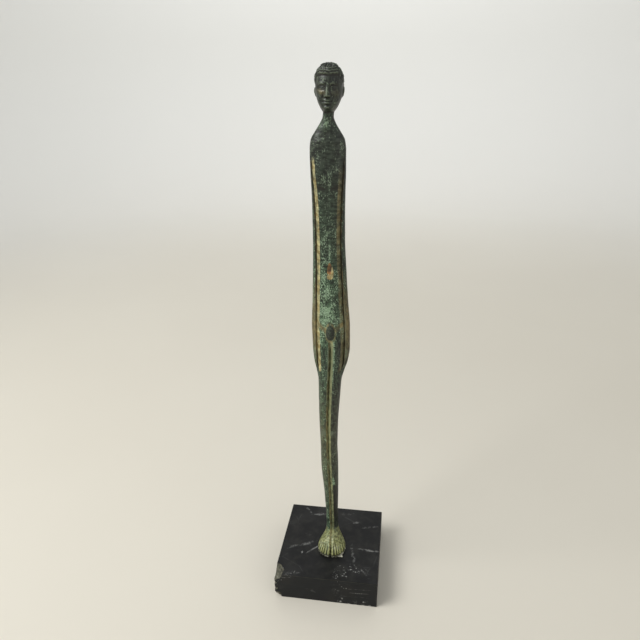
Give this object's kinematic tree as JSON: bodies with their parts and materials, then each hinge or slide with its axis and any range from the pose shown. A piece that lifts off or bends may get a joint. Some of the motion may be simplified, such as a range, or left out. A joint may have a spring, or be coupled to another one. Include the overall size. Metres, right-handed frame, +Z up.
{
  "type": "elongated votive figure",
  "caption": "Very slender standing bronze youth, arms pressed to the sides and legs together, on a square black marble plinth.",
  "frame": {"origin": "centre of the plinth's underside, on the surface that the piece stands on", "axes": "+Z up along the figure, the figure faces -Y, +X is its left hand's side"},
  "size_m": [0.07, 0.07, 0.3363],
  "materials": {
    "bronze": "dark green antique patina with verdigris, rubbed back to brass in the grooves",
    "marble": "satin black marble with pale veins and a chipped corner"
  },
  "bodies": {
    "root": {"figure": "bronze", "plinth": "marble"}
  },
  "joints": []
}
